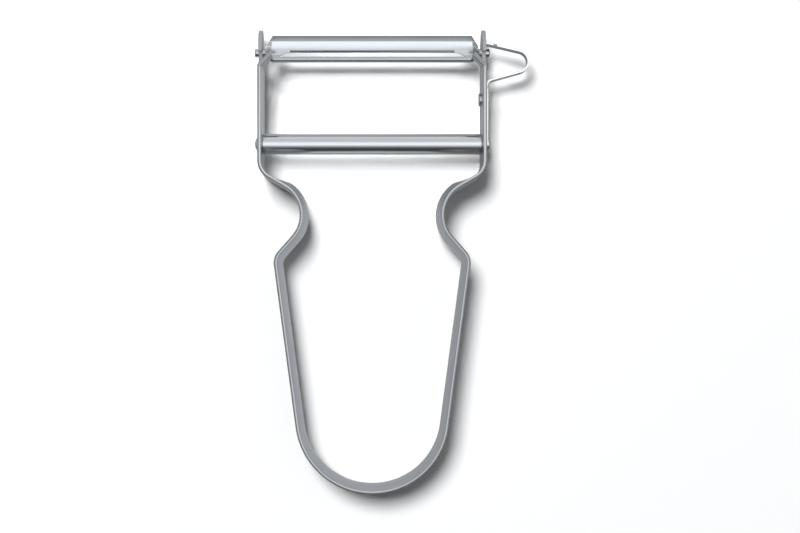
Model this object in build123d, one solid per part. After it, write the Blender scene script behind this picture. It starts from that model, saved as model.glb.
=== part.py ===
from build123d import *
import math
import os

# Swivel-blade vegetable peeler, horseshoe pattern. Millimetres and degrees.
# A bent steel ribbon is handle, arms and ears in one. The slotted blade swivels in the ears,
# a riveted crossbar holds the arms apart, and a potato-eye gouger is riveted to the right arm.
# Origin: middle of the ribbon's thickness at the handle's end, on the plane the peeler lies on.
# +Y runs from the handle's end to the blade, +X to the gouger, +Z up from the resting plane.

# Ribbon: strip stock, with a shallow channel pressed into the handle
ribbon_width = 12.0
ribbon_thickness = 0.9
rim_edge = 0.25
channel_depth = 1.1

# Line of the ribbon, middle of its thickness, right half. Belly and shoulder are the corners
# of its straights, rounded by their bends. The waist is the narrowest point of its bend, at
# its share of the way from belly to shoulder
end_radius = 17.8
belly_half_width = 22.95
belly_y = 55.1
belly_radius = 3.8
waist_half_width = 16.65
waist_share = 0.4975
waist_radius = 7.8
arm_half_span = 26.5
shoulder_y = 75.4
shoulder_radius = 4.5

# The channel fades out along the straight of the shoulder
fade_start_share = 0.05
fade_end_share = 0.95

# Pivot of the blade
pivot_y = 104.05
pivot_z = 5.4
journal_diameter = 2.0
journal_clearance = 0.05
journal_proud = 1.0

# Ear at the end of each arm, cut narrower than the ribbon, with a round tip. Root and tip
# are given from the pivot axis
ear_root_run = 4.15
ear_tip_run = 5.5
ear_width = 8.0
ear_low_edge = 0.8
ear_step_run = 0.8

# Stop lug: a tongue of the ribbon bent inwards at the ear's root
lug_bend_radius = 1.0
lug_bend_angle = 45.0
lug_straight = 3.3
lug_slit = 0.15
lug_over_blade = 0.1

# Blade: one stamped sheet. Its section runs from the heel, at the top of the peeler, over the
# cutting slot to the turned-up front rim, given from the pivot axis to the middle of the sheet
blade_thickness = 0.6
blade_end_gap = 0.8
ramp_run = 1.3
heel_reach = 4.24
heel_drop = 0.26
crease_reach = 2.87
crease_drop = 0.6
web_reach = 1.4
web_drop = 0.65
valley_reach = -0.2
valley_drop = 1.0
front_reach = -1.9
front_drop = 0.4
front_rim_height = 1.85
crease_radius = 0.8
web_radius = 4.0
valley_radius = 1.0
rim_bend_radius = 0.6

# Slot, and the cutting edge ground along its heel side. Beyond the edge the slot narrows
# along a curve to a point on its front side
slot_end_margin = 3.05
slot_point_run = 2.55
slot_width = 1.03
slot_offset = -0.2
edge_land = 0.08
bevel_run = 0.45

# Ends of the blade: cut corners, a ramp up to the pivot axis, a rolled neck and journal
heel_corner_run = 1.75
heel_corner_drop = 2.75
front_corner_run = 1.35
front_corner_drop = 1.3
end_rise = 0.6
neck_width = 3.0
neck_height = 0.75
neck_inset = 0.7
neck_length = 1.05
journal_bore = 0.8
journal_seam = 0.15
journal_chamfer = 0.15

# Crossbar: a rolled tube between the arms, on a rod riveted over outside them
crossbar_y = 82.3
crossbar_z = 6.0
crossbar_diameter = 4.9
crossbar_wall = 0.6
crossbar_seam = 0.25
crossbar_edge = 0.15
rod_diameter = 2.2
rod_clearance = 0.03
rod_head_diameter = 3.5
rod_head_height = 0.55

# Part of a domed head's height that its rim takes
head_rim_share = 0.35

# Eye gouger: a strip loop beside the right arm, with a leg down the arm
gouger_thickness = 0.5
gouger_width = 3.2
gouger_leg_width = 5.0
gouger_z = 6.0
gouger_root_run = 2.1
gouger_root_gap = 0.1
gouger_reach = 10.3
gouger_nose_back = 2.25
gouger_nose_radius = 2.8
gouger_return_back = 6.9
gouger_bend_radius = 1.4
gouger_end_radius = 1.7
notch_out = 2.2
notch_width = 0.5
notch_depth = 0.4

# Rivet that holds the gouger's leg
rivet_y = 92.85
rivet_z = 6.0
rivet_diameter = 1.6
rivet_clearance = 0.02
rivet_head_diameter = 3.1
rivet_head_height = 0.7
rivet_head_edge = 0.15
rivet_tail_diameter = 1.8
rivet_tail_height = 0.65

# Overrun of every cutting solid past what it cuts
overrun = 1.0

arm_inner_x = arm_half_span - ribbon_thickness / 2
arm_outer_x = arm_half_span + ribbon_thickness / 2
ear_start_y = pivot_y - ear_root_run
lug_low_z = pivot_z + front_rim_height + lug_over_blade
blade_half_length = arm_inner_x - blade_end_gap
blade_body_half_length = blade_half_length - ramp_run


def polar(radius, angle):
    """Offset of a given length in a given direction."""
    return radius * math.cos(math.radians(angle)), radius * math.sin(math.radians(angle))


def tangent_point(centre, radius, point, side):
    """Where a line from a point touches a circle, on its left (+1) or right (-1) hand side."""
    away_x = point[0] - centre[0]
    away_y = point[1] - centre[1]
    turn = math.degrees(math.acos(radius / math.hypot(away_x, away_y)))
    angle = math.degrees(math.atan2(away_y, away_x)) - side * turn
    step = polar(radius, angle)
    return centre[0] + step[0], centre[1] + step[1]


def rod_along_x(diameter, x_from, x_to, y, z):
    """Round bar parallel to X."""
    plane = Plane(origin=(x_from, y, z), x_dir=(0, 1, 0), z_dir=(1, 0, 0))
    return extrude(plane * Circle(diameter / 2), amount=x_to - x_from)


def ribbon_section(x, y, outward, bulge):
    """Section of the ribbon, square to its line, bulging towards the inside of the handle."""
    half = ribbon_thickness / 2
    middle = ribbon_width / 2
    if bulge:
        outer = ThreePointArc((half, 0), (half - bulge, middle), (half, ribbon_width))
        inner = ThreePointArc((-half, ribbon_width), (-half - bulge, middle), (-half, 0))
    else:
        outer = Line((half, 0), (half, ribbon_width))
        inner = Line((-half, ribbon_width), (-half, 0))
    foot = Line((-half, 0), (half, 0))
    crest = Line((half, ribbon_width), (-half, ribbon_width))
    face = make_face([foot, outer, crest, inner])
    # The rims are eased on the outside and crisp on the inside
    face = chamfer(face.vertices().group_by(Axis.X)[-1], rim_edge)
    out_x, out_y = polar(1, outward)
    plane = Plane(origin=(x, y, 0), x_dir=(out_x, out_y, 0), z_dir=(out_y, -out_x, 0))
    return plane * face


def ribbon_half():
    """Right half of the handle and its arm, up to the ear."""
    # The side of the grip is tangent to the round end
    reach = math.hypot(belly_half_width, belly_y - end_radius)
    to_belly = math.degrees(math.atan2(belly_y - end_radius, belly_half_width))
    side_angle = to_belly - math.degrees(math.acos(end_radius / reach))
    side_x, side_y = polar(end_radius, side_angle)
    belly = (belly_half_width, belly_y)
    shoulder = (arm_half_span, shoulder_y)
    waist_y = belly_y + (shoulder_y - belly_y) * waist_share
    waist_centre = (waist_half_width + waist_radius, waist_y)
    waist_low = tangent_point(waist_centre, waist_radius, belly, 1)
    waist_high = tangent_point(waist_centre, waist_radius, shoulder, -1)
    # Straight of the shoulder, between the bends of waist and shoulder
    run_x = arm_half_span - waist_high[0]
    run_y = shoulder_y - waist_high[1]
    slope = math.degrees(math.atan2(run_y, run_x))
    bend_half = math.radians((90 - slope) / 2)
    straight = math.hypot(run_x, run_y) - shoulder_radius * math.tan(bend_half)
    fade_from = polar(straight * fade_start_share, slope)
    fade_to = polar(straight * fade_end_share, slope)
    fade_start = (waist_high[0] + fade_from[0], waist_high[1] + fade_from[1])
    fade_end = (waist_high[0] + fade_to[0], waist_high[1] + fade_to[1])
    outward = slope - 90

    end_arc = CenterArc((0, end_radius), end_radius, -90, side_angle + 90)
    side = FilletPolyline((side_x, end_radius + side_y), belly, waist_low, radius=belly_radius)
    waist = ThreePointArc(waist_low, (waist_half_width, waist_y), waist_high)
    run_out = Line(waist_high, fade_start)
    grip_line = Wire([end_arc.edge()] + list(side.edges()) + [waist.edge(), run_out.edge()])
    grip = sweep(ribbon_section(0, 0, -90, channel_depth), path=grip_line)
    fade = loft([
        ribbon_section(*fade_start, outward, channel_depth),
        ribbon_section(*fade_end, outward, 0),
    ], ruled=True)
    arm_line = FilletPolyline(
        fade_end,
        shoulder,
        (arm_half_span, ear_start_y),
        radius=shoulder_radius,
    )
    arm = sweep(ribbon_section(*fade_end, outward, 0), path=Wire(arm_line.edges()))
    return grip + fade + arm


def ear_and_lug():
    """Flat ear with the notch that its stop lug was cut from, and the lug bent inwards."""
    round_radius = ear_width / 2
    high_edge = ear_low_edge + ear_width
    round_y = pivot_y + ear_tip_run - round_radius
    blank_length = math.radians(lug_bend_angle) * lug_bend_radius + lug_straight
    notch_y = ear_start_y + blank_length + lug_slit
    notch_z = lug_low_z - lug_slit
    outline = [
        Polyline(
            (round_y, high_edge),
            (notch_y, high_edge),
            (notch_y, notch_z),
            (ear_start_y, notch_z),
            (ear_start_y, 0),
            (ear_start_y + ear_step_run, ear_low_edge),
            (round_y, ear_low_edge),
        ),
        ThreePointArc(
            (round_y, ear_low_edge),
            (round_y + round_radius, ear_low_edge + round_radius),
            (round_y, high_edge),
        ),
    ]
    plane = Plane(origin=(arm_inner_x, 0, 0), x_dir=(0, 1, 0), z_dir=(1, 0, 0))
    ear = extrude(plane * make_face(outline), amount=ribbon_thickness)

    # Plan of the lug: an arc tangent to the arm, then a straight
    bend_centre = (arm_half_span - lug_bend_radius, ear_start_y)
    arc_end = polar(lug_bend_radius, lug_bend_angle)
    straight_start = (bend_centre[0] + arc_end[0], bend_centre[1] + arc_end[1])
    step = polar(lug_straight, 90 + lug_bend_angle)
    lug_line = Wire([
        CenterArc(bend_centre, lug_bend_radius, 0, lug_bend_angle).edge(),
        Line(straight_start, (straight_start[0] + step[0], straight_start[1] + step[1])).edge(),
    ])
    lug_height = ribbon_width - lug_low_z
    foot = Plane(
        origin=(arm_half_span, ear_start_y, lug_low_z + lug_height / 2),
        x_dir=(1, 0, 0),
        z_dir=(0, -1, 0),
    )
    lug = sweep(foot * Rectangle(ribbon_thickness, lug_height), path=lug_line)
    return ear + lug


def handle_frame():
    """Ribbon bent into handle and arms, with its ears, lugs and holes."""
    right = ribbon_half() + ear_and_lug()
    pivot_hole = rod_along_x(
        journal_diameter + 2 * journal_clearance,
        arm_inner_x - overrun,
        arm_outer_x + overrun,
        pivot_y,
        pivot_z,
    )
    rod_hole = rod_along_x(
        rod_diameter + 2 * rod_clearance,
        arm_inner_x - overrun,
        arm_outer_x + overrun,
        crossbar_y,
        crossbar_z,
    )
    right = right - pivot_hole - rod_hole
    left = mirror(right, about=Plane.YZ)
    rivet_hole = rod_along_x(
        rivet_diameter + 2 * rivet_clearance,
        arm_inner_x - overrun,
        arm_outer_x + overrun,
        rivet_y,
        rivet_z,
    )
    return (right - rivet_hole) + left


def blade_profile():
    """Section of the stamped sheet, as a face whose x is the peeler's Y and whose y is its Z."""
    line = FilletPolyline(
        (heel_reach, -heel_drop),
        (crease_reach, -crease_drop),
        (web_reach, -web_drop),
        (valley_reach, -valley_drop),
        (front_reach, -front_drop),
        (front_reach, front_rim_height),
        radius=[crease_radius, web_radius, valley_radius, rim_bend_radius],
    )
    return trace(line, blade_thickness)


def blade_end_plan():
    """Plan of the right end of the blade, with both its corners cut."""
    front_edge = front_reach - blade_thickness / 2
    heel_edge = heel_reach + blade_thickness / 2
    return Polyline(
        (0, heel_edge),
        (blade_half_length - heel_corner_run, heel_edge),
        (blade_half_length, heel_edge - heel_corner_drop),
        (blade_half_length, front_edge + front_corner_drop),
        (blade_half_length - front_corner_run, front_edge),
        (0, front_edge),
        close=True,
    )


def blade_half():
    """Right half of the stamped blade, built about the pivot axis."""
    tall = heel_reach + front_rim_height
    section = Plane(origin=(0, 0, 0), x_dir=(0, 1, 0), z_dir=(1, 0, 0)) * blade_profile()
    body = extrude(section, amount=blade_body_half_length)
    # Towards the journal the sheet climbs to the pivot axis
    ramp = (blade_half_length - blade_body_half_length, 0, end_rise)
    ramp_length = math.hypot(ramp[0], ramp[2])
    end = Pos(blade_body_half_length, 0, 0) * extrude(section, amount=ramp_length, dir=ramp)
    plan = extrude(Pos(0, 0, -tall) * make_face(blade_end_plan()), amount=tall + front_rim_height)
    half = (body + end) & plan
    # The front rim turns the cut corner
    corner_run = math.hypot(front_corner_run, front_corner_drop)
    corner_turn = math.degrees(math.atan2(front_corner_drop, front_corner_run))
    corner_height = front_rim_height + front_drop
    corner_plan = Rectangle(corner_run, blade_thickness, align=(Align.MIN, Align.MIN))
    corner = extrude(corner_plan, amount=corner_height)
    corner_x = blade_half_length - front_corner_run
    corner_y = front_reach - blade_thickness / 2
    half += Pos(corner_x, corner_y, -front_drop) * Rot(0, 0, corner_turn) * corner & plan
    # Rolled neck and journal
    neck_from = blade_half_length - neck_inset
    neck_to = neck_from + neck_length
    neck_level = -(front_drop + web_drop) / 2 + end_rise
    oval = Plane(origin=(neck_from, 0, neck_level), x_dir=(0, 1, 0), z_dir=(1, 0, 0))
    round_end = Plane(origin=(neck_to, 0, 0), x_dir=(0, 1, 0), z_dir=(1, 0, 0))
    neck = loft([
        oval * Ellipse(neck_width / 2, neck_height / 2),
        round_end * Circle(journal_diameter / 2),
    ])
    journal_end = arm_outer_x + journal_proud
    journal = rod_along_x(journal_diameter, neck_to, journal_end, 0, 0)
    journal = chamfer(journal.faces().sort_by(Axis.X)[-1].edges(), journal_chamfer)
    bore = rod_along_x(journal_bore, arm_inner_x, journal_end + overrun, 0, 0)
    seam_length = journal_end + overrun - arm_inner_x
    seam = Box(seam_length, journal_seam, journal_diameter, align=(Align.MIN, Align.CENTER, Align.MAX))
    return half + neck + journal - bore - Pos(arm_inner_x, 0, 0) * seam


def blade():
    """Slotted blade with its journals, built about the pivot axis."""
    right = blade_half()
    whole = right + mirror(right, about=Plane.YZ)
    tall = heel_reach + front_rim_height
    front_y = slot_offset - slot_width / 2
    edge_y = slot_offset + slot_width / 2
    point_x = blade_half_length - slot_end_margin
    edge_end_x = point_x - slot_point_run
    slot_outline = [
        Line((point_x, front_y), (-point_x, front_y)),
        TangentArc((-edge_end_x, edge_y), (-point_x, front_y), tangent=(-1, 0)),
        Line((-edge_end_x, edge_y), (edge_end_x, edge_y)),
        TangentArc((edge_end_x, edge_y), (point_x, front_y), tangent=(1, 0)),
    ]
    slot = extrude(Pos(0, 0, -tall) * make_face(slot_outline), amount=2 * tall)
    # Bevel along the heel side of the slot, ground from above down to a thin land
    web_slope = (valley_drop - web_drop) / (web_reach - valley_reach)
    edge_middle = -web_drop - (web_reach - edge_y) * web_slope
    edge_low = edge_middle - blade_thickness / 2 + edge_land
    bevel_high = edge_middle + blade_thickness / 2 + bevel_run * web_slope
    bevel_rise = (bevel_high - edge_low) / bevel_run
    bevel_section = Polyline(
        (edge_y, edge_low),
        (edge_y + bevel_run + overrun, edge_low + (bevel_run + overrun) * bevel_rise),
        (edge_y - overrun, edge_low + (bevel_run + overrun) * bevel_rise),
        (edge_y - overrun, edge_low),
        close=True,
    )
    bevel_plane = Plane(origin=(-edge_end_x, 0, 0), x_dir=(0, 1, 0), z_dir=(1, 0, 0))
    bevel = extrude(bevel_plane * make_face(bevel_section), amount=2 * edge_end_x)
    return Pos(0, pivot_y, pivot_z) * (whole - slot - bevel)


def domed_head(diameter, height, x, y, z, side):
    """Round rivet head on a face square to X, with side +1 for +X and -1 for -X."""
    rise = height * (1 - head_rim_share)
    dome_radius = ((diameter / 2) ** 2 + rise ** 2) / (2 * rise)
    blank = Cylinder(diameter / 2, height, align=(Align.CENTER, Align.CENTER, Align.MIN))
    head = blank & Pos(0, 0, height - dome_radius) * Sphere(dome_radius)
    return Pos(x, y, z) * Rot(0, 90 * side, 0) * head


def crossbar_tube():
    """Rolled tube between the arms, its seam underneath."""
    tube = rod_along_x(crossbar_diameter, -arm_inner_x, arm_inner_x, crossbar_y, crossbar_z)
    tube = chamfer(tube.edges().filter_by(GeomType.CIRCLE), crossbar_edge)
    bore_diameter = crossbar_diameter - 2 * crossbar_wall
    bore = rod_along_x(bore_diameter, -arm_inner_x - overrun, arm_inner_x + overrun, crossbar_y, crossbar_z)
    seam = Box(
        2 * (arm_inner_x + overrun),
        crossbar_seam,
        crossbar_diameter,
        align=(Align.CENTER, Align.CENTER, Align.MAX),
    )
    return tube - bore - Pos(0, crossbar_y, crossbar_z) * seam


def crossbar_rod():
    """Rod through the arms and the tube, headed over the left arm and over the gouger's leg."""
    left_face = -arm_outer_x
    right_face = arm_outer_x + gouger_thickness
    rod = rod_along_x(rod_diameter, left_face, right_face, crossbar_y, crossbar_z)
    left = domed_head(rod_head_diameter, rod_head_height, left_face, crossbar_y, crossbar_z, -1)
    right = domed_head(rod_head_diameter, rod_head_height, right_face, crossbar_y, crossbar_z, 1)
    return rod + left + right


def eye_gouger():
    """Strip bent into a loop beside the ear, and its leg that is riveted down the arm."""
    middle_x = arm_outer_x + gouger_thickness / 2
    nose_radius = gouger_nose_radius - gouger_thickness / 2
    nose_centre = (arm_outer_x + gouger_reach - gouger_nose_radius, pivot_y - gouger_nose_back)
    root = (arm_outer_x + gouger_root_gap, pivot_y + gouger_root_run)
    corner = (middle_x, pivot_y - gouger_return_back)
    upper = tangent_point(nose_centre, nose_radius, root, 1)
    lower = tangent_point(nose_centre, nose_radius, corner, -1)
    nose_tip = (nose_centre[0] + nose_radius, nose_centre[1])
    leg_top = corner[1] - gouger_bend_radius
    bends = FilletPolyline(lower, corner, (middle_x, leg_top), radius=gouger_bend_radius)
    nose = [Line(root, upper).edge(), ThreePointArc(upper, nose_tip, lower).edge()]
    line = Wire(nose + list(bends.edges()))
    run_x = upper[0] - root[0]
    run_y = upper[1] - root[1]
    start = Plane(origin=(root[0], root[1], gouger_z), x_dir=(run_y, -run_x, 0), z_dir=(run_x, run_y, 0))
    loop = sweep(start * Rectangle(gouger_thickness, gouger_width), path=line)

    half_loop = gouger_width / 2
    half_leg = gouger_leg_width / 2
    outline = [
        Polyline(
            (crossbar_y, gouger_end_radius),
            (rivet_y - half_leg, half_leg),
            (rivet_y + half_leg, half_leg),
            (leg_top, half_loop),
            (leg_top, -half_loop),
            (rivet_y + half_leg, -half_leg),
            (rivet_y - half_leg, -half_leg),
            (crossbar_y, -gouger_end_radius),
        ),
        ThreePointArc(
            (crossbar_y, -gouger_end_radius),
            (crossbar_y - gouger_end_radius, 0),
            (crossbar_y, gouger_end_radius),
        ),
    ]
    leg_plane = Plane(origin=(arm_outer_x, 0, gouger_z), x_dir=(0, 1, 0), z_dir=(1, 0, 0))
    leg = extrude(leg_plane * make_face(outline), amount=gouger_thickness)
    far = arm_outer_x + gouger_thickness + overrun
    rivet_hole = rod_along_x(rivet_diameter + 2 * rivet_clearance, arm_inner_x, far, rivet_y, rivet_z)
    rod_hole = rod_along_x(rod_diameter + 2 * rod_clearance, arm_inner_x, far, crossbar_y, crossbar_z)
    notch = Box(notch_width, gouger_width, notch_depth, align=(Align.CENTER, Align.CENTER, Align.MAX))
    notch_place = Pos(arm_outer_x + notch_out, root[1], gouger_z + gouger_width / 2)
    return loop + leg - rivet_hole - rod_hole - notch_place * notch


def gouger_rivet():
    """Rivet through the arm and the gouger's leg: a flat head inside, an upset tail outside."""
    far_face = arm_outer_x + gouger_thickness
    shank = rod_along_x(rivet_diameter, arm_inner_x, far_face, rivet_y, rivet_z)
    head = rod_along_x(rivet_head_diameter, arm_inner_x - rivet_head_height, arm_inner_x, rivet_y, rivet_z)
    head = chamfer(head.faces().sort_by(Axis.X)[0].edges(), rivet_head_edge)
    tail = domed_head(rivet_tail_diameter, rivet_tail_height, far_face, rivet_y, rivet_z, 1)
    return shank + head + tail


pieces = {
    "handle_frame": handle_frame,
    "blade": blade,
    "crossbar_tube": crossbar_tube,
    "crossbar_rod": crossbar_rod,
    "eye_gouger": eye_gouger,
    "gouger_rivet": gouger_rivet,
}
os.makedirs("parts", exist_ok=True)
for name, make in pieces.items():
    export_step(make(), f"parts/{name}.step")
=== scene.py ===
import math
import bmesh
import bpy
from mathutils import Matrix, Vector


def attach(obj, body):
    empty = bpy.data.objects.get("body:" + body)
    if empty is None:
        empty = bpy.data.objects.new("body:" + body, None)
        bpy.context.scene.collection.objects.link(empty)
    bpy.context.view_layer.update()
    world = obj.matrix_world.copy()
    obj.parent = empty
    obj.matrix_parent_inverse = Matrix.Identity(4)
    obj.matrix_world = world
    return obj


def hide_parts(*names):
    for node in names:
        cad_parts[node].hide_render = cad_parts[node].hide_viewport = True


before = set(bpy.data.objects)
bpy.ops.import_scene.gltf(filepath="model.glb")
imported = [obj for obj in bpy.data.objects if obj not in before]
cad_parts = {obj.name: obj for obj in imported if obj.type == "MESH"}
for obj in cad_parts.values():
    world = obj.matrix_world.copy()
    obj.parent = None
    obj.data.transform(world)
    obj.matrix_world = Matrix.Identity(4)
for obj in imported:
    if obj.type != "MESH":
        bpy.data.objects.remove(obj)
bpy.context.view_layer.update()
mm = 0.001


# Places that several pieces share, the gap that a weld closes, and the tint of the studio's greys
shared = {"crossbarY": 82.3 * mm, "rivetY": 92.85 * mm, "middleZ": 6.0 * mm, "armFaceX": 26.95 * mm}
weldGap = 0.002 * mm
coolWhite = (0.97, 0.985, 1.0)


# Small helpers for objects and meshes
def addObject(name, data):
    item = bpy.data.objects.new(name, data)
    bpy.context.collection.objects.link(item)
    return item


def finishMesh(mesh, steel, sharpAngle, weld=0.0):
    # Outward faces of one steel, smooth but for edges sharper than the angle
    form = bmesh.new()
    form.from_mesh(mesh)
    if weld:
        bmesh.ops.remove_doubles(form, verts=form.verts, dist=weld)
    bmesh.ops.recalc_face_normals(form, faces=form.faces)
    form.to_mesh(mesh)
    form.free()
    mesh.materials.clear()
    mesh.materials.append(steel)
    mesh.shade_smooth()
    mesh.set_sharp_from_angle(angle=math.radians(sharpAngle))


# Small helpers for node trees
def addNode(tree, kind, inputs=None, **settings):
    node = tree.nodes.new(kind)
    for name, value in settings.items():
        setattr(node, name, value)
    for name, value in (inputs or {}).items():
        if isinstance(value, bpy.types.NodeSocket):
            tree.links.new(value, node.inputs[name])
        else:
            node.inputs[name].default_value = value
    return node


def addMath(tree, operation, first, second=0.0, third=0.0):
    node = addNode(tree, "ShaderNodeMath", {0: first, 1: second, 2: third}, operation=operation)
    return node.outputs[0]


def addScale(tree, vector, factors):
    node = addNode(tree, "ShaderNodeVectorMath", {0: vector, 1: factors}, operation="MULTIPLY")
    return node.outputs[0]


def addSplit(tree, vector):
    return addNode(tree, "ShaderNodeSeparateXYZ", {0: vector}).outputs


def addMix(tree, share, first, second, **settings):
    colours = {0: share, 6: first, 7: second}
    return addNode(tree, "ShaderNodeMix", colours, data_type="RGBA", **settings).outputs[2]


def addSpan(tree, value, low, high, start=0.0, end=1.0, **settings):
    # Place of value between low and high, as a number from start to end
    node = addNode(tree, "ShaderNodeMapRange", {
        "Value": value, "From Min": low, "From Max": high, "To Min": start, "To Max": end}, **settings)
    return node.outputs[0]


def makeRamp(tree, value, stops, top):
    # Greys over 0 to 1, from stops of (place, level), as shares of top
    ramp = addNode(tree, "ShaderNodeValToRGB", {"Fac": value})
    ramp.color_ramp.interpolation = "LINEAR"
    while len(ramp.color_ramp.elements) < len(stops):
        ramp.color_ramp.elements.new(0.5)
    for element, (position, level) in zip(ramp.color_ramp.elements, stops):
        element.position = position
        element.color = (*(level / top * part for part in coolWhite), 1)
    return ramp.outputs["Color"]


def addProfile(tree, value, stops):
    # Greys along a measure, from stops of (place in mm, level)
    low, high = stops[0][0], stops[-1][0]
    share = addSpan(tree, value, low * mm, high * mm)
    return makeRamp(tree, share, [((place - low) / (high - low), level) for place, level in stops], 1.0)


def startGroup(name, inputs, outputs):
    group = bpy.data.node_groups.new(name, "ShaderNodeTree")
    for label, kind, value in inputs:
        socket = group.interface.new_socket(label, in_out="INPUT", socket_type=kind)
        if value is not None:
            socket.default_value = value
    for label in outputs:
        group.interface.new_socket(label, in_out="OUTPUT", socket_type="NodeSocketFloat")
    return group, group.nodes.new("NodeGroupInput").outputs, group.nodes.new("NodeGroupOutput").inputs


# Shader group: fine lines along the first axis of Place, as rolling and brushing leave them
def makeDrawnGrain():
    group, given, result = startGroup("drawnGrain", [
        ("Place", "NodeSocketVector", None),
        ("Along", "NodeSocketFloat", 90.0),
        ("Across", "NodeSocketFloat", 9000.0),
    ], ["Lines", "Streaks"])
    spread = addNode(group, "ShaderNodeCombineXYZ", {
        "X": given["Along"], "Y": given["Across"], "Z": given["Across"]})
    stretched = addScale(group, given["Place"], spread.outputs[0])
    lines = addNode(group, "ShaderNodeTexNoise", {
        "Vector": stretched, "Scale": 1.0, "Detail": 4.0, "Roughness": 0.62})
    wide = addScale(group, stretched, (0.3, 0.1, 0.1))
    streaks = addNode(group, "ShaderNodeTexNoise", {
        "Vector": wide, "Scale": 1.0, "Detail": 3.0, "Roughness": 0.5})
    group.links.new(lines.outputs["Fac"], result["Lines"])
    group.links.new(streaks.outputs["Fac"], result["Streaks"])
    return group


# Shader group: soft smudges of handling, and sparse thin scratches
def makeHandling():
    group, given, result = startGroup("handling", [
        ("Place", "NodeSocketVector", None),
        ("Smudge Scale", "NodeSocketFloat", 140.0),
        ("Scratch Scale", "NodeSocketFloat", 260.0),
    ], ["Smudge", "Scratches"])
    place = given["Place"]
    cloud = addNode(group, "ShaderNodeTexNoise", {
        "Vector": place, "Scale": given["Smudge Scale"],
        "Detail": 5.0, "Roughness": 0.55, "Distortion": 0.6})
    smudge = addSpan(group, cloud.outputs["Fac"], 0.36, 0.68)
    # Scratches: borders of bent, stretched cells, kept only here and there
    bent = addNode(group, "ShaderNodeTexNoise", {"Vector": place, "Scale": 90.0, "Detail": 1.0})
    shift = addScale(group, bent.outputs["Color"], (0.004, 0.004, 0.004))
    moved = addNode(group, "ShaderNodeVectorMath", {0: place, 1: shift}, operation="ADD")
    turned = addNode(group, "ShaderNodeMapping", {
        "Vector": moved.outputs[0], "Rotation": (0.4, 0.3, 0.7)})
    stretched = addScale(group, turned.outputs[0], (0.25, 1.6, 1.6))
    cells = addNode(group, "ShaderNodeTexVoronoi", {
        "Vector": stretched, "Scale": given["Scratch Scale"]}, feature="DISTANCE_TO_EDGE")
    thin = addSpan(group, cells.outputs["Distance"], 0.0, 0.03, 1.0, 0.0)
    gate = addNode(group, "ShaderNodeTexNoise", {"Vector": place, "Scale": 310.0, "Detail": 1.0})
    gated = addSpan(group, gate.outputs["Fac"], 0.52, 0.66)
    group.links.new(smudge, result["Smudge"])
    group.links.new(addMath(group, "MULTIPLY", thin, gated), result["Scratches"])
    return group


# Shader group: a mask that grows from Start to 1 of Reach and breaks up along its inner side.
# It places rubbed edges on some steels, painted shade on the ribbon and ears, and a painted highlight on
# the gouger
def makeEdgeWearAndLight():
    group, given, result = startGroup("edgeWearAndLight", [
        ("Place", "NodeSocketVector", None),
        ("Reach", "NodeSocketFloat", 0.0),
        ("Start", "NodeSocketFloat", 0.9),
        ("Break Scale", "NodeSocketFloat", 900.0),
    ], ["Worn"])
    breaks = addNode(group, "ShaderNodeTexNoise", {
        "Vector": given["Place"], "Scale": given["Break Scale"], "Detail": 3.0, "Roughness": 0.6})
    centred = addMath(group, "MULTIPLY_ADD", breaks.outputs["Fac"], 0.16, -0.08)
    pushed = addMath(group, "ADD", given["Reach"], centred)
    wearAndPaintedLight = addSpan(group, pushed, given["Start"], 1.0, interpolation_type="SMOOTHSTEP")
    group.links.new(wearAndPaintedLight, result["Worn"])
    return group


drawnGrain = makeDrawnGrain()
handling = makeHandling()
edgeWearAndLight = makeEdgeWearAndLight()
print("shader groups ready")
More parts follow.
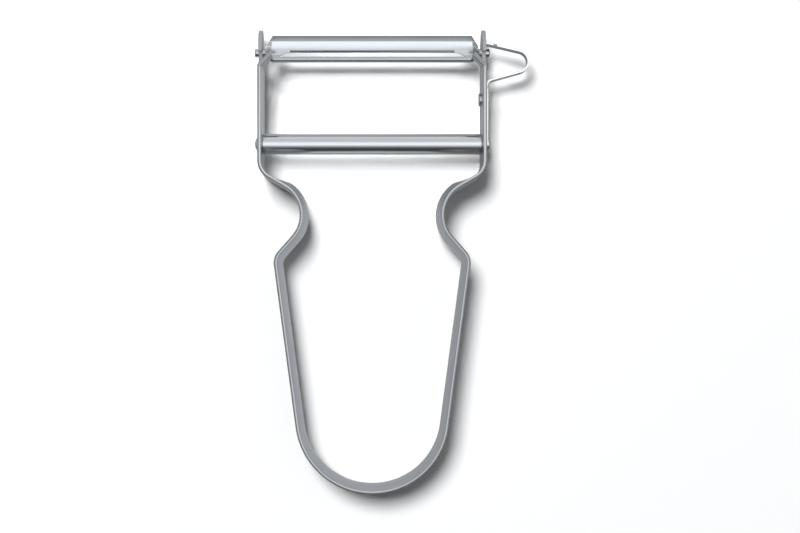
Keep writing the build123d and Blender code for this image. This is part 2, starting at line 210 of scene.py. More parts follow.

# Steels: colours of dark and light grain and of the edge tone, roughness range, grain scale and relief,
# the height from which the edge tone is measured and how far out it starts, the place that the grain
# follows, and how much the scratches show. The edge tone is rubbed edges on blade, crossbar and rivets,
# painted shade on the handle's rims and the stop lugs' tops, and a painted highlight on the gouger's
# rims
steelKinds = {
    "ribbonSteel": {
        # Painted shade: the darker edge tone darkens the rim flats along the handle, fading out from 60
        # to 82 mm and sparing the rim's inner edge
        "dark": (0.48, 0.49, 0.50, 1), "light": (0.60, 0.61, 0.62, 1), "wearAndPaintedLight": (0.29, 0.295, 0.30, 1),
        "roughLow": 0.28, "roughHigh": 0.40, "along": 120.0, "across": 7000.0, "relief": 0.06,
        "wearAndLightMiddle": shared["middleZ"], "wearAndLightHalf": 6.0 * mm, "wearAndLightStart": 0.90,
        "place": "stripPlace", "marks": 0.3,
        "rimShadeFade": (60.0 * mm, 82.0 * mm), "rimShadeAcross": (-0.30 * mm, -0.12 * mm),
    },
    "earSteel": {
        # Painted shade: the darker edge tone darkens the upper part of the stop lugs
        "dark": (0.56, 0.565, 0.57, 1), "light": (0.635, 0.64, 0.645, 1), "wearAndPaintedLight": (0.46, 0.46, 0.46, 1),
        "roughLow": 0.58, "roughHigh": 0.72, "along": 260.0, "across": 5200.0, "relief": 0.08,
        "wearAndLightMiddle": 4.8 * mm, "wearAndLightHalf": 6.0 * mm, "wearAndLightStart": 0.97,
        "place": "turned", "marks": 0.3,
    },
    "bladeSteel": {
        "dark": (0.695, 0.70, 0.70, 1), "light": (0.75, 0.755, 0.755, 1), "wearAndPaintedLight": (0.78, 0.78, 0.78, 1),
        "roughLow": 0.13, "roughHigh": 0.22, "along": 140.0, "across": 8200.0, "relief": 0.015,
        "wearAndLightMiddle": shared["middleZ"], "wearAndLightHalf": 2.6 * mm, "wearAndLightStart": 0.95,
        "place": "object", "marks": 0.12,
        # Painted shade: these shades darken the colour of the front rim, the front strip and the
        # flange's front, where the reflections are dark
        "shades": [(101.87, 0.10), (102.08, 0.12), (102.22, 0.66), (103.3, 0.70), (104.8, 0.72),
                   (105.1, 0.70), (105.35, 0.76), (105.6, 0.86), (105.85, 0.92), (106.2, 1.0)],
        "crownStart": 106.92 * mm, "crownRun": 1.67 * mm, "crownSlope": 0.10, "crownTurn": 0.16,
    },
    "crossbarNickel": {
        "dark": (0.58, 0.59, 0.60, 1), "light": (0.66, 0.67, 0.68, 1), "wearAndPaintedLight": (0.74, 0.74, 0.73, 1),
        "roughLow": 0.08, "roughHigh": 0.17, "along": 70.0, "across": 5200.0, "relief": 0.025,
        "wearAndLightMiddle": shared["middleZ"], "wearAndLightHalf": 3.2 * mm, "wearAndLightStart": 0.985,
        "place": "object", "marks": 0.06,
    },
    "rivetSteel": {
        "dark": (0.44, 0.44, 0.45, 1), "light": (0.60, 0.60, 0.61, 1), "wearAndPaintedLight": (0.70, 0.70, 0.70, 1),
        "roughLow": 0.18, "roughHigh": 0.34, "along": 900.0, "across": 2400.0, "relief": 0.12,
        "wearAndLightMiddle": shared["middleZ"], "wearAndLightHalf": 1.7 * mm, "wearAndLightStart": 0.95,
        "place": "object", "marks": 0.3,
    },
    "gougerSteel": {
        # Painted light: the dark steel stands in for the shade on the loop's walls, and the bright edge
        # tone is a painted highlight on its rims
        "dark": (0.24, 0.245, 0.25, 1), "light": (0.35, 0.355, 0.36, 1), "wearAndPaintedLight": (0.88, 0.88, 0.88, 1),
        "roughLow": 0.18, "roughHigh": 0.32, "along": 160.0, "across": 6400.0, "relief": 0.06,
        "wearAndLightMiddle": shared["middleZ"], "wearAndLightHalf": 1.6 * mm, "wearAndLightStart": 0.93,
        "place": "turned", "marks": 0.3,
    },
}
# How grain, smudges and the edge mask mix in every steel: their shares, and the spans of grain and
# roughness
steelMix = {
    "colourStreaks": 0.4, "colourLines": 0.6, "colourLow": 0.34, "colourHigh": 0.66,
    "roughStreaks": 0.45, "roughSmudge": 0.55, "roughWear": 0.4, "roughLow": 0.1, "roughHigh": 0.8,
    "reliefDepth": 0.02 * mm,
}


def makeSteel(name):
    kind, mix = steelKinds[name], steelMix
    material = bpy.data.materials.new(name)
    material.use_nodes = True
    tree = material.node_tree
    shader = tree.nodes["Principled BSDF"].inputs
    shader["Metallic"].default_value = 1.0
    where = addNode(tree, "ShaderNodeTexCoord").outputs["Object"]
    split = addSplit(tree, where)
    along, height = split["Y"], split["Z"]
    if kind["place"] == "stripPlace":
        grainPlace = addNode(tree, "ShaderNodeAttribute", attribute_name="stripPlace").outputs["Vector"]
    elif kind["place"] == "turned":  # grain along the arm instead of along the blade
        turn = (0, 0, math.radians(-90))
        grainPlace = addNode(tree, "ShaderNodeMapping", {"Vector": where, "Rotation": turn}).outputs[0]
    else:
        grainPlace = where
    grainInputs = {"Place": grainPlace, "Along": kind["along"], "Across": kind["across"]}
    grain = addNode(tree, "ShaderNodeGroup", grainInputs, node_tree=drawnGrain).outputs
    marks = addNode(tree, "ShaderNodeGroup", {"Place": where}, node_tree=handling).outputs
    scratches = addMath(tree, "MULTIPLY", marks["Scratches"], kind["marks"])
    fromMiddle = addMath(tree, "ABSOLUTE", addMath(tree, "SUBTRACT", height, kind["wearAndLightMiddle"]))
    wearAndLightMask = addNode(tree, "ShaderNodeGroup", {
        "Place": where, "Reach": addMath(tree, "DIVIDE", fromMiddle, kind["wearAndLightHalf"]),
        "Start": kind["wearAndLightStart"]}, node_tree=edgeWearAndLight).outputs["Worn"]
    # Colour: streaks between dark and light steel, then the edge tone under the edge mask: rubbed edges
    # on some steels, painted shade on the ribbon and ears, a painted highlight on the gouger
    streaks = addMath(tree, "MULTIPLY", grain["Streaks"], mix["colourStreaks"])
    drawn = addMath(tree, "MULTIPLY_ADD", grain["Lines"], mix["colourLines"], streaks)
    shade = addSpan(tree, drawn, mix["colourLow"], mix["colourHigh"])
    base = addMix(tree, shade, kind["dark"], kind["light"])
    toned = wearAndLightMask
    # Painted shade on the handle's rim flats, faded out towards the arms and kept off the rim's inner
    # edge
    if "rimShadeFade" in kind:  # along the handle only
        toned = addMath(tree, "MULTIPLY", toned, addSpan(tree, along, *kind["rimShadeFade"], 1.0, 0.0))
    if "rimShadeAcross" in kind:  # not on the rim's inner edge
        across = addSplit(tree, grainPlace)["Z"]
        toned = addMath(tree, "MULTIPLY", toned, addSpan(tree, across, *kind["rimShadeAcross"]))
    colour = addMix(tree, addMath(tree, "MAXIMUM", toned, scratches), base, kind["wearAndPaintedLight"])
    # Painted shade on the blade's front rim, front strip and flange front
    if "shades" in kind:  # duller on the front rim and strip
        paintedShade = addProfile(tree, along, kind["shades"])
        colour = addMix(tree, 1.0, colour, paintedShade, blend_type="MULTIPLY")
    tree.links.new(colour, shader["Base Color"])
    # Roughness: grain and smudges, smoother under the edge mask
    streaks = addMath(tree, "MULTIPLY", grain["Streaks"], mix["roughStreaks"])
    mixed = addMath(tree, "MULTIPLY_ADD", marks["Smudge"], mix["roughSmudge"], streaks)
    eased = addMath(tree, "SUBTRACT", mixed, addMath(tree, "MULTIPLY", wearAndLightMask, mix["roughWear"]))
    rough = addSpan(tree, eased, mix["roughLow"], mix["roughHigh"], kind["roughLow"], kind["roughHigh"])
    tree.links.new(rough, shader["Roughness"])
    # Relief of grain lines and scratches
    relief = addMath(tree, "SUBTRACT", grain["Lines"], scratches)
    bump = addNode(tree, "ShaderNodeBump", {
        "Strength": kind["relief"], "Distance": mix["reliefDepth"], "Height": relief}).outputs[0]
    if "crownRun" in kind:  # slight curve of the sheet towards its heel
        run = kind["crownRun"]
        share = addSpan(tree, along, kind["crownStart"], kind["crownStart"] + run)
        slope, turn = kind["crownSlope"] * run, kind["crownTurn"] / 2 * run
        lean = addMath(tree, "MULTIPLY_ADD", share, turn, slope)
        bump = addNode(tree, "ShaderNodeBump", {
            "Strength": 1.0, "Distance": 1.0,
            "Height": addMath(tree, "MULTIPLY", lean, share), "Normal": bump}).outputs[0]
    tree.links.new(bump, shader["Normal"])
    return material


steels = {name: makeSteel(name) for name in steelKinds}
print("steels ready")


# Bent strip: a strip of sheet on edge, along corner points that carry their bend radius
stripMeasures = (
    "Width", "Thickness", "Outer Rim", "Inner Rim", "Channel", "Channel End", "Channel Full",
    "Notch At", "Notch Width", "Notch Depth", "Step",
)


def makeStripTree():
    tree = bpy.data.node_groups.new("bentStrip", "GeometryNodeTree")
    tree.is_modifier = True
    tree.interface.new_socket("Corners", in_out="INPUT", socket_type="NodeSocketGeometry")
    for label in stripMeasures:
        tree.interface.new_socket(label, in_out="INPUT", socket_type="NodeSocketFloat")
    tree.interface.new_socket("Steel", in_out="INPUT", socket_type="NodeSocketMaterial")
    tree.interface.new_socket("Strip", in_out="OUTPUT", socket_type="NodeSocketGeometry")
    given = tree.nodes.new("NodeGroupInput").outputs
    result = tree.nodes.new("NodeGroupOutput").inputs

    def add(kind, inputs=None, **settings):
        return addNode(tree, kind, inputs, **settings).outputs

    def times(first, second):
        return addMath(tree, "MULTIPLY", first, second)

    def minus(first, second):
        return addMath(tree, "SUBTRACT", first, second)

    def stored(name):
        return add("GeometryNodeInputNamedAttribute", {"Name": name}, data_type="FLOAT")["Attribute"]

    def store(geometry, name, value, kind):
        inputs = {"Geometry": geometry, "Name": name, "Value": value}
        return add("GeometryNodeStoreNamedAttribute", inputs, data_type=kind, domain="POINT")[0]

    def greater(first, second):
        values = {0: first, 1: second}
        return add("FunctionNodeCompare", values, data_type="FLOAT", operation="GREATER_THAN")[0]

    position = add("GeometryNodeInputPosition")[0]
    spot = addSplit(tree, position)
    # Line with its bends
    line = add("GeometryNodeMeshToCurve", {"Mesh": given["Corners"]})[0]
    bend = stored("bend")
    rounded = add("GeometryNodeFilletCurve", {
        "Curve": line, "Count": 40, "Radius": bend}, mode="POLY")[0]
    even = add("GeometryNodeResampleCurve", {
        "Curve": rounded, "Length": given["Step"]}, mode="LENGTH")[0]
    upright = add("GeometryNodeSetCurveNormal", {"Curve": even}, mode="Z_UP")[0]
    kept = addNode(tree, "GeometryNodeCaptureAttribute")
    kept.capture_items.new("VECTOR", "outward")
    kept.capture_items.new("FLOAT", "travelled")
    tree.links.new(upright, kept.inputs[0])
    tree.links.new(add("GeometryNodeInputNormal")[0], kept.inputs["outward"])
    tree.links.new(add("GeometryNodeSplineParameter")["Length"], kept.inputs["travelled"])
    path, outward, travelled = kept.outputs[0], kept.outputs["outward"], kept.outputs["travelled"]
    # Section, standing on its foot: outer rims rounded, inner rims crisp, long sides divided
    block = add("GeometryNodeCurvePrimitiveQuadrilateral", {
        "Width": given["Thickness"], "Height": given["Width"]})[0]
    outside = greater(spot["X"], 0.0)
    rim = add("GeometryNodeSwitch", {
        0: outside, 1: given["Inner Rim"], 2: given["Outer Rim"]}, input_type="FLOAT")[0]
    eased = add("GeometryNodeFilletCurve", {
        "Curve": block, "Count": 5, "Radius": rim}, mode="POLY")[0]
    following = add("GeometryNodeOffsetPointInCurve", {"Offset": 1})["Point Index"]
    nextSpot = add("GeometryNodeFieldAtIndex", {
        "Index": following, "Value": position}, data_type="FLOAT_VECTOR")[0]
    gap = add("ShaderNodeVectorMath", {0: nextSpot, 1: position}, operation="DISTANCE")["Value"]
    cuts = addMath(tree, "DIVIDE", gap, addMath(tree, "DIVIDE", given["Width"], 12.0))
    divided = add("GeometryNodeSubdivideCurve", {"Curve": eased, "Cuts": cuts})[0]
    named = store(divided, "across", spot["X"], "FLOAT")
    lift = add("ShaderNodeCombineXYZ", {"Y": addMath(tree, "DIVIDE", given["Width"], -2.0)})[0]
    section = add("GeometryNodeTransform", {"Geometry": named, "Translation": lift})[0]
    sweep = add("GeometryNodeCurveToMesh", {
        "Curve": path, "Profile Curve": section, "Fill Caps": True})[0]
    # Channel: both faces bulge inwards, most at half the width, and fade out along the shoulder
    share = addMath(tree, "DIVIDE", spot["Z"], given["Width"])
    hump = times(times(share, minus(1.0, share)), 4.0)
    fade = addSpan(tree, spot["Y"], given["Channel End"], given["Channel Full"])
    depth = times(times(hump, fade), given["Channel"])
    inward = add("ShaderNodeVectorMath", {
        0: outward, "Scale": times(depth, -1.0)}, operation="SCALE")[0]
    # Notch: the top rim drops over a short way
    beside = addMath(tree, "ABSOLUTE", minus(travelled, given["Notch At"]))
    inNotch = addMath(tree, "LESS_THAN", beside, addMath(tree, "DIVIDE", given["Notch Width"], 2.0))
    over = minus(spot["Z"], minus(given["Width"], given["Notch Depth"]))
    drop = times(inNotch, addMath(tree, "MAXIMUM", over, 0.0))
    down = add("ShaderNodeCombineXYZ", {"Z": times(drop, -1.0)})[0]
    offset = add("ShaderNodeVectorMath", {0: inward, 1: down}, operation="ADD")[0]
    pressed = add("GeometryNodeSetPosition", {"Geometry": sweep, "Offset": offset})[0]
    # Place along, up and across the strip, for its grain
    across = stored("across")
    place = add("ShaderNodeCombineXYZ", {"X": travelled, "Y": spot["Z"], "Z": across})[0]
    marked = store(pressed, "stripPlace", place, "FLOAT_VECTOR")
    smooth = add("GeometryNodeSetShadeSmooth", {
        "Geometry": marked, "Shade Smooth": True}, domain="FACE")[0]
    sharp = greater(add("GeometryNodeInputMeshEdgeAngle")[0], math.radians(40))
    crisp = add("GeometryNodeSetShadeSmooth", {
        "Geometry": smooth, "Selection": sharp, "Shade Smooth": False}, domain="EDGE")[0]
    whole = add("GeometryNodeRealizeInstances", {"Geometry": crisp})[0]
    finished = add("GeometryNodeSetMaterial", {"Geometry": whole, "Material": given["Steel"]})[0]
    tree.links.new(finished, result[0])
    return tree


stripTree = makeStripTree()


def bakePiece(holder, name):
    # Result of the holder's modifiers as a plain mesh object
    bpy.context.view_layer.update()
    evaluated = holder.evaluated_get(bpy.context.evaluated_depsgraph_get())
    mesh = bpy.data.meshes.new_from_object(evaluated)
    mesh.name = name
    bpy.data.objects.remove(holder)
    form = bmesh.new()
    form.from_mesh(mesh)
    if form.calc_volume(signed=True) < 0:
        bmesh.ops.reverse_faces(form, faces=form.faces)
        form.to_mesh(mesh)
    form.free()
    return addObject(name, mesh)


def bendStrip(name, corners, foot, values, steel):
    # corners: (x, y, bend radius); foot: height of the strip's lower rim; values: measures of the strip
    base = bpy.data.meshes.new(name + "Line")
    points = [(x, y, 0) for x, y, bend in corners]
    base.from_pydata(points, [(i, i + 1) for i in range(len(points) - 1)], [])
    bends = base.attributes.new("bend", "FLOAT", "POINT")
    for item, corner in zip(bends.data, corners):
        item.value = corner[2]
    holder = addObject(name + "Line", base)
    modifier = holder.modifiers.new("bentStrip", "NODES")
    modifier.node_group = stripTree
    sockets = {s.name: s.identifier for s in stripTree.interface.items_tree if s.in_out == "INPUT"}
    given = {"Channel": 0.0, "Channel End": 1.0, "Channel Full": 0.0,
             "Notch At": 0.0, "Notch Width": 0.0, "Notch Depth": 0.0, "Steel": steel}
    given.update(values)
    for label, value in given.items():
        modifier[sockets[label]] = value
    piece = bakePiece(holder, name)
    piece.data.transform(Matrix.Translation((0, 0, foot)))
    return piece


def tangentPoint(centre, radius, point, side):
    # Where a line from point touches the circle, on its left (1) or right (-1)
    away = Vector(point) - Vector(centre)
    angle = math.atan2(away.y, away.x) - side * math.acos(radius / away.length)
    return Vector((centre[0] + radius * math.cos(angle), centre[1] + radius * math.sin(angle)))


def bendCorner(centre, radius, before, after, side):
    # Corner whose bend lies on the circle, for straights from before and to after
    low = tangentPoint(centre, radius, before, side)
    high = tangentPoint(centre, radius, after, -side)
    first, second = low - Vector(before), high - Vector(after)
    gap = Vector(after) - Vector(before)
    reach = (gap.x * second.y - gap.y * second.x) / (first.x * second.y - first.y * second.x)
    return Vector(before) + first * reach


# Handle: one ribbon of strip from the left ear round the handle's end to the right ear
ribbonShape = {
    "width": 12.0 * mm, "thickness": 0.9 * mm, "outerRim": 0.50 * mm, "innerRim": 0.16 * mm,
    "channel": 1.1 * mm, "channelFull": 72.0 * mm, "channelEnd": 74.1 * mm,
    "endRadius": 17.8 * mm,
    "bellyX": 22.95 * mm, "bellyY": 55.1 * mm, "bellyBend": 3.8 * mm,
    "waistX": 16.65 * mm, "waistY": 65.2 * mm, "waistBend": 7.8 * mm,
    "armX": 26.5 * mm, "shoulderY": 75.4 * mm, "shoulderBend": 4.5 * mm,
    "earRootY": 99.9 * mm, "step": 0.4 * mm,
}


def makeRibbon():
    shape = ribbonShape
    radius = shape["endRadius"]
    belly = (shape["bellyX"], shape["bellyY"])
    shoulder = (shape["armX"], shape["shoulderY"])
    sideTouch = tangentPoint((0, radius), radius, belly, 1)
    sideAngle = math.atan2(sideTouch.y - radius, sideTouch.x)
    endX = radius * math.tan((math.pi / 2 + sideAngle) / 2)
    waistCentre = (shape["waistX"] + shape["waistBend"], shape["waistY"])
    waist = bendCorner(waistCentre, shape["waistBend"], belly, shoulder, 1)
    right = [
        (endX, 0, radius),
        (*belly, shape["bellyBend"]),
        (waist.x, waist.y, shape["waistBend"]),
        (*shoulder, shape["shoulderBend"]),
        (shape["armX"], shape["earRootY"], 0),
    ]
    left = [(-x, y, bend) for x, y, bend in reversed(right)]
    ribbon = bendStrip("handleRibbon", left + [(0, 0, 0)] + right, 0.0, {
        "Width": shape["width"], "Thickness": shape["thickness"],
        "Outer Rim": shape["outerRim"], "Inner Rim": shape["innerRim"],
        "Channel": shape["channel"], "Channel End": shape["channelEnd"],
        "Channel Full": shape["channelFull"], "Step": shape["step"],
    }, steels["ribbonSteel"])
    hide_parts("handle_frame")
    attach(ribbon, "frame")
    print("handle ribbon ready,", len(ribbon.data.polygons), "faces")


makeRibbon()


def arcPoints(centre, radius, start, end, count):
    steps = [math.radians(start + (end - start) * i / count) for i in range(count + 1)]
    return [(centre[0] + radius * math.cos(a), centre[1] + radius * math.sin(a)) for a in steps]


# Flat plates that stand on edge along the arm: outline in (Y, Z), thickness along X
def makePlate(name, outline, holes, middleX, thickness, rim, steel):
    sheet = bpy.data.curves.new(name + "Outline", "CURVE")
    sheet.dimensions = "2D"
    sheet.fill_mode = "BOTH"
    sheet.extrude = thickness / 2 - rim
    sheet.bevel_depth = rim
    sheet.bevel_resolution = 2
    sheet.offset = -rim
    rings = [outline] + [arcPoints((y, z), radius, 0, 360, 40)[:-1] for y, z, radius in holes]
    for ring in rings:
        spline = sheet.splines.new("POLY")
        spline.points.add(len(ring) - 1)
        for point, (y, z) in zip(spline.points, ring):
            point.co = (y, z, 0, 1)
        spline.use_cyclic_u = True
    piece = bakePiece(addObject(name + "Outline", sheet), name)
    finishMesh(piece.data, steel, 35, weld=weldGap)
    piece.data.transform(Matrix(((0, 0, 1, middleX), (1, 0, 0, 0), (0, 1, 0, 0), (0, 0, 0, 1))))
    return piece


# Ear with its pivot hole and the notch that its stop lug was cut from, and the lug bent inwards
earShape = {
    "tipY": 109.55 * mm, "lowZ": 0.8 * mm, "width": 8.0 * mm, "stepRun": 0.8 * mm,
    "pivotY": 104.05 * mm, "pivotZ": 5.4 * mm, "holeRadius": 1.05 * mm, "rim": 0.07 * mm,
    "lugLowZ": 7.35 * mm, "lugBend": 1.0 * mm, "lugTurn": math.radians(45),
    "lugLength": 3.3 * mm, "lugSlit": 0.15 * mm,
    "lugOuterRim": 0.1 * mm, "lugInnerRim": 0.06 * mm, "lugStep": 0.1 * mm,
}


def makeEar(side):
    shape = earShape
    name = "Right" if side > 0 else "Left"
    middleX, rootY = side * ribbonShape["armX"], ribbonShape["earRootY"]
    turn, thickness = shape["lugTurn"], ribbonShape["thickness"]
    half = shape["width"] / 2
    tip = (shape["tipY"] - half, shape["lowZ"] + half)
    notchY = rootY + turn * shape["lugBend"] + shape["lugLength"] + shape["lugSlit"]
    notchZ = shape["lugLowZ"] - shape["lugSlit"]
    outline = [(rootY, 0.0), (rootY + shape["stepRun"], shape["lowZ"])]
    outline += arcPoints(tip, half, -90, 90, 36)
    outline += [(notchY, shape["lowZ"] + shape["width"]), (notchY, notchZ), (rootY, notchZ)]
    hole = [(shape["pivotY"], shape["pivotZ"], shape["holeRadius"])]
    ear = makePlate("ear" + name, outline, hole, middleX, thickness, shape["rim"], steels["earSteel"])
    # The lug turns towards the other ear
    reach = shape["lugBend"] * math.tan(turn / 2)
    length = reach + shape["lugLength"]
    corner = (middleX, rootY + reach)
    end = (corner[0] - side * length * math.sin(turn), corner[1] + length * math.cos(turn))
    corners = [(middleX, rootY, 0), (*corner, shape["lugBend"]), (*end, 0)]
    if side < 0:
        corners.reverse()
    lug = bendStrip("stopLug" + name, corners, shape["lugLowZ"], {
        "Width": ribbonShape["width"] - shape["lugLowZ"], "Thickness": thickness,
        "Outer Rim": shape["lugOuterRim"], "Inner Rim": shape["lugInnerRim"], "Step": shape["lugStep"],
    }, steels["earSteel"])
    for piece in (ear, lug):
        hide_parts("handle_frame")
        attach(piece, "frame")


for side in (-1, 1):
    makeEar(side)
print("ears and stop lugs ready")

# Eye gouger: a thin strip loop beside the right ear, and its leg riveted down the arm
gougerShape = {
    "thickness": 0.5 * mm, "width": 3.2 * mm, "rim": 0.06 * mm, "step": 0.16 * mm,
    "rootY": 106.15 * mm, "rootGap": 0.1 * mm,
    "reach": 10.3 * mm, "noseY": 101.8 * mm, "noseRadius": 2.8 * mm,
    "returnY": 97.15 * mm, "bend": 1.4 * mm, "legWidth": 5.0 * mm, "endRadius": 1.7 * mm,
    "notchAt": 2.16 * mm, "notchWidth": 0.5 * mm, "notchDepth": 0.4 * mm,
}


def makeGouger():
    shape, steel = gougerShape, steels["gougerSteel"]
    faceX, rivetY, z = shared["armFaceX"], shared["rivetY"], shared["middleZ"]
    thickness, halfLoop, halfLeg = shape["thickness"], shape["width"] / 2, shape["legWidth"] / 2
    middleX = faceX + thickness / 2
    noseRadius = shape["noseRadius"] - thickness / 2
    nose = (faceX + shape["reach"] - shape["noseRadius"], shape["noseY"])
    root = (faceX + shape["rootGap"], shape["rootY"])
    corner = (middleX, shape["returnY"])
    tip = bendCorner(nose, noseRadius, root, corner, 1)
    legTop = shape["returnY"] - shape["bend"]
    corners = [(*root, 0), (tip.x, tip.y, noseRadius), (*corner, shape["bend"]), (middleX, legTop, 0)]
    loop = bendStrip("gougerLoop", corners, z - halfLoop, {
        "Width": shape["width"], "Thickness": thickness,
        "Outer Rim": shape["rim"], "Inner Rim": shape["rim"], "Step": shape["step"],
        "Notch At": shape["notchAt"], "Notch Width": shape["notchWidth"],
        "Notch Depth": shape["notchDepth"],
    }, steel)
    outline = arcPoints((shared["crossbarY"], z), shape["endRadius"], 270, 90, 24) + [
        (rivetY - halfLeg, z + halfLeg), (rivetY + halfLeg, z + halfLeg),
        (legTop, z + halfLoop), (legTop, z - halfLoop),
        (rivetY + halfLeg, z - halfLeg), (rivetY - halfLeg, z - halfLeg),
    ]
    leg = makePlate("gougerLeg", outline, [], middleX, thickness, shape["rim"], steel)
    for piece in (loop, leg):
        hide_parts("eye_gouger")
        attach(piece, "frame")
    print("eye gouger ready")


makeGouger()

# Crossbar: a tube rolled from sheet, its seam underneath
tubeShape = {
    "halfLength": 26.05 * mm, "radius": 2.45 * mm, "bore": 1.85 * mm,
    "edge": 0.15 * mm, "seam": 0.25 * mm, "steps": 128,
}


def makeTube():
    shape = tubeShape
    radius, edge, half, count = shape["radius"], shape["edge"], shape["halfLength"], shape["steps"]
    axis = (shared["crossbarY"], shared["middleZ"])
    opening = math.degrees(math.asin(shape["seam"] / 2 / radius))
    inner = arcPoints(axis, shape["bore"], 270 - opening, opening - 90, count)
    rim, wall = radius - edge, half - edge
    sections = [(-half, rim), (-wall, radius), (wall, radius), (half, rim)]
    points, faces = [], []
    for x, outer in sections:
        ring = arcPoints(axis, outer, opening - 90, 270 - opening, count) + inner
        points += [(x, y, z) for y, z in ring]
    around = 2 * (count + 1)
    for start in range(0, (len(sections) - 1) * around, around):
        for i in range(around):
            j = (i + 1) % around
            faces.append((start + i, start + j, start + around + j, start + around + i))
    last = (len(sections) - 1) * around
    for i in range(count):
        faces.append((i, around - 1 - i, around - 2 - i, i + 1))
        faces.append((last + i + 1, last + around - 2 - i, last + around - 1 - i, last + i))
    mesh = bpy.data.meshes.new("crossbarTube")
    mesh.from_pydata(points, [], faces)
    finishMesh(mesh, steels["crossbarNickel"], 30)
    tube = addObject("crossbarTube", mesh)
    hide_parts("crossbar_tube")
    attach(tube, "frame")
    print("crossbar tube ready")


makeTube()

# Rod and rivet: turned along X, from left to right face; heads as (radius, height), upset by hammering
turnedShapes = {
    "crossbarRod": {
        "node": "crossbar_rod", "y": shared["crossbarY"], "radius": 1.1 * mm,
        "left": -shared["armFaceX"], "leftHead": (1.75 * mm, 0.97 * mm), "leftFlat": False,
        "right": 27.45 * mm, "rightHead": (1.75 * mm, 0.68 * mm),
    },
    "gougerRivet": {
        "node": "gouger_rivet", "y": shared["rivetY"], "radius": 0.8 * mm,
        "left": 26.05 * mm, "leftHead": (1.55 * mm, 0.7 * mm), "leftFlat": True,
        "right": 27.45 * mm, "rightHead": (0.95 * mm, 0.65 * mm),
    },
}
headForm = {"corner": 0.15 * mm, "wallShare": 0.35, "steps": 64}


def headOutline(face, side, radius, height, flat):
    # From the rim of the head to its crown, on the given side of its face
    if flat:
        corner = headForm["corner"]
        top = arcPoints((height - corner, radius - corner), corner, 90, 0, 6) + [(height, 0.0)]
    else:
        rise = height * (1 - headForm["wallShare"])
        dome = (radius ** 2 + rise ** 2) / (2 * rise)
        reach = math.degrees(math.asin(radius / dome))
        top = arcPoints((height - dome, 0.0), dome, reach, 0, 12)
    return [(face, radius)] + [(face + side * x, r) for x, r in top]


def makeTurned(name, shape):
    low = headOutline(shape["left"], -1, *shape["leftHead"], shape["leftFlat"])
    high = headOutline(shape["right"], 1, *shape["rightHead"], False)
    outline = list(reversed(low))
    outline += [(shape["left"], shape["radius"]), (shape["right"], shape["radius"])] + high
    count, axis = headForm["steps"], (shape["y"], shared["middleZ"])
    form = bmesh.new()
    rings = []
    for x, r in outline:
        around = arcPoints(axis, r, 0, 360, count)[:-1] if r > 1e-9 else [axis]
        rings.append([form.verts.new((x, y, z)) for y, z in around])
    for first, second in zip(rings, rings[1:]):
        for i in range(count):
            pairs = [(first, i), (first, i + 1), (second, i + 1), (second, i)]
            corners = [ring[k % len(ring)] for ring, k in pairs]
            form.faces.new(list(dict.fromkeys(corners)))
    mesh = bpy.data.meshes.new(name)
    form.to_mesh(mesh)
    form.free()
    finishMesh(mesh, steels["rivetSteel"], 40)
    piece = addObject(name, mesh)
    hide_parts(shape["node"])
    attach(piece, "frame")


for name, shape in turnedShapes.items():
    makeTurned(name, shape)
print("rod and rivet ready")

# Blade: the CAD mesh keeps its shape; its loose triangles are welded and its edges broken
bladeFinish = {"steel": "bladeSteel", "edge": 0.05 * mm, "segments": 2, "sharpAngle": 38}


def finishBlade():
    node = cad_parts["blade"]
    node.data.materials.clear()
    node.data.materials.append(steels[bladeFinish["steel"]])
    weld = node.modifiers.new("weld", "WELD")
    weld.merge_threshold = weldGap
    soft = node.modifiers.new("soft", "BEVEL")
    soft.width = bladeFinish["edge"]
    soft.segments = bladeFinish["segments"]
    soft.limit_method = "ANGLE"
    soft.angle_limit = math.radians(bladeFinish["sharpAngle"])
    soft.harden_normals = True
    print("blade finished")


finishBlade()

# Studio: camera above the table, white floor, a round panel light and a row of spots beyond the blade
cameraSetup = {
    "x": 0.0, "y": 45.21 * mm, "height": 337.6 * mm,
    "lens": 62.68, "sensor": 36.0,
    "shiftX": 0.03475, "shiftY": 0.0419,
}


def makeCamera():
    data = bpy.data.cameras.new("topCamera")
    data.sensor_width = cameraSetup["sensor"]
    data.lens = cameraSetup["lens"]
    data.shift_x = cameraSetup["shiftX"]
    data.shift_y = cameraSetup["shiftY"]
    camera = addObject("topCamera", data)
    camera.location = (cameraSetup["x"], cameraSetup["y"], cameraSetup["height"])
    bpy.context.scene.camera = camera
    print("camera ready")


# Floor: across and along are profiles, in mm along X and Y, of the painted level that the metal sees:
# painted shade towards +X, and a painted shadow of the crossbar from 66 to 86 mm along Y
floorSetup = {
    "halfSide": 0.9, "roughness": 0.75, "colour": (0.93, 0.935, 0.94, 1.0),
    "inMetal": (0.05, 0.05, 0.05, 1.0), "paintedGlow": (0.47, 0.475, 0.48, 1.0),
    "across": [(-26, 1.14), (0, 1.12), (15, 0.92), (22, 0.88), (26, 0.74)],
    "along": [(0, 1.0), (66, 1.0), (76, 0.6), (80, 0.6), (86, 1.0)],
}


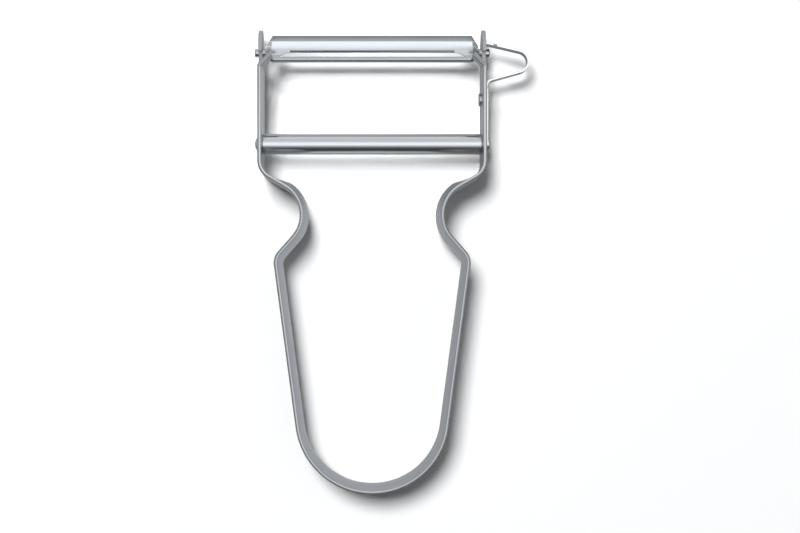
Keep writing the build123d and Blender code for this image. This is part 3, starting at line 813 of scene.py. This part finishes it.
def makeFloor():
    half = floorSetup["halfSide"]
    mesh = bpy.data.meshes.new("floor")
    corners = [(-half, -half, 0), (half, -half, 0), (half, half, 0), (-half, half, 0)]
    mesh.from_pydata(corners, [], [(0, 1, 2, 3)])
    floor = addObject("floor", mesh)
    material = bpy.data.materials.new("floorPaper")
    material.use_nodes = True
    tree = material.node_tree
    shader = tree.nodes["Principled BSDF"].inputs
    # Painted reflection: the metal sees a grey table that glows by itself at painted levels, without the
    # shadows that the camera sees
    rays = addNode(tree, "ShaderNodeLightPath").outputs
    direct = addMath(tree, "LESS_THAN", rays["Diffuse Depth"], 0.5)
    seen = addMath(tree, "MULTIPLY", rays["Is Glossy Ray"], direct)
    paper = addMix(tree, seen, floorSetup["colour"], floorSetup["inMetal"])
    where = addSplit(tree, addNode(tree, "ShaderNodeTexCoord").outputs["Object"])
    shining = floorSetup["paintedGlow"]
    for axis, name in (("X", "across"), ("Y", "along")):
        shade = addProfile(tree, where[axis], floorSetup[name])
        shining = addMix(tree, 1.0, shining, shade, blend_type="MULTIPLY")
    tree.links.new(paper, shader["Base Color"])
    tree.links.new(addMix(tree, seen, (0, 0, 0, 1), shining), shader["Emission Color"])
    shader["Emission Strength"].default_value = 1.0
    shader["Roughness"].default_value = floorSetup["roughness"]
    mesh.materials.append(material)
    print("floor ready")


# Room that the metal reflects. Bands: its level along Y, from behind the handle (-1) over the camera
# (0) to beyond the blade (1). Sides: what is left of it from -X (0) to +X (1). ShadeFill: the level
# that lights the shadows, from -X (0) to +X (1). Levels are at most top.
roomSetup = {
    "top": 1.6,
    "bands": [(-1.0, 0.15), (-0.99, 0.098), (-0.93, 0.064), (-0.825, 0.087), (-0.68, 0.22),
              (-0.515, 0.53), (-0.33, 1.11), (-0.14, 1.50), (0.05, 1.47), (0.245, 1.155),
              (0.43, 0.88), (0.60, 0.82), (0.75, 0.88), (0.87, 0.91), (1.0, 0.92)],
    "sides": [(0.0, 0.22), (0.22, 0.30), (0.36, 1.0), (0.68, 1.0), (0.82, 0.5), (1.0, 0.35)],
    "shadeFill": [(0.0, 0.0), (0.3, 0.0), (0.5, 0.04), (1.0, 0.30)],
}


def makeRoom():
    world = bpy.data.worlds.new("studio")
    world.use_nodes = True
    tree = world.node_tree
    background = tree.nodes["Background"].inputs
    top = roomSetup["top"]
    direction = addSplit(tree, addNode(tree, "ShaderNodeTexCoord").outputs["Generated"])
    along = addSpan(tree, direction["Y"], -1.0, 1.0)
    across = addSpan(tree, direction["X"], -1.0, 1.0)
    bands = makeRamp(tree, along, [((y + 1) / 2, level) for y, level in roomSetup["bands"]], top)
    sides = makeRamp(tree, across, roomSetup["sides"], 1.0)
    reflected = addMix(tree, 1.0, bands, sides, blend_type="MULTIPLY")
    fill = makeRamp(tree, across, roomSetup["shadeFill"], top)
    rays = addNode(tree, "ShaderNodeLightPath").outputs
    soft = addMath(tree, "GREATER_THAN", rays["Diffuse Depth"], 0.5)
    tree.links.new(addMix(tree, soft, reflected, fill), background["Color"])
    background["Strength"].default_value = top
    bpy.context.scene.world = world
    bpy.context.scene.view_settings.view_transform = "Standard"
    print("room ready")


def addLight(name, data, place, aim):
    # A light that the metal doesn't see
    light = addObject(name, data)
    light.location = place
    light.rotation_mode = "QUATERNION"
    light.rotation_quaternion = (Vector(aim) - Vector(place)).to_track_quat("-Z", "Y")
    light.visible_glossy = False
    return light


# Round panel light, and a row of small spots that light only the window between the arms
panelSetup = {"place": (-0.48, 0.77, 2.0), "aim": (0, 0.05, 0), "diameter": 0.88, "power": 54.0}
spotSetup = {
    "aim": (-0.001, 0.091, 0.0), "height": 0.70, "count": 9, "power": 9.6, "radius": 0.010,
    "leanLow": 0.12, "leanHigh": 0.48, "reachLow": 0.94, "reachHigh": 1.7,
    "beam": 0.0325, "flatness": 0.45, "blend": 0.15,
}


def makePanel():
    data = bpy.data.lights.new("mainPanel", "AREA")
    data.shape = "DISK"
    data.size = panelSetup["diameter"]
    data.energy = panelSetup["power"]
    addLight("mainPanel", data, panelSetup["place"], panelSetup["aim"])


def makeSpots():
    setup = spotSetup
    aim, last = Vector(setup["aim"]), setup["count"] - 1
    for i in range(setup["count"]):
        # Reach grows along the row, while lean jumps about so that the spots spread over both
        share, other = i / last, i * 4 % setup["count"] / last
        reach = setup["reachLow"] + (setup["reachHigh"] - setup["reachLow"]) * share
        lean = setup["leanLow"] + (setup["leanHigh"] - setup["leanLow"]) * other
        place = aim + Vector((-lean, reach, 1.0)) * setup["height"]
        data = bpy.data.lights.new("bladeSpot", "SPOT")
        data.energy = setup["power"]
        data.shadow_soft_size = setup["radius"]
        data.spot_size = 2 * math.atan(setup["beam"] / (aim - place).length)
        data.spot_blend = setup["blend"]
        addLight("bladeSpot", data, place, aim).scale.y = setup["flatness"]


makeCamera()
makeFloor()
makeRoom()
makePanel()
makeSpots()
print("lights ready")
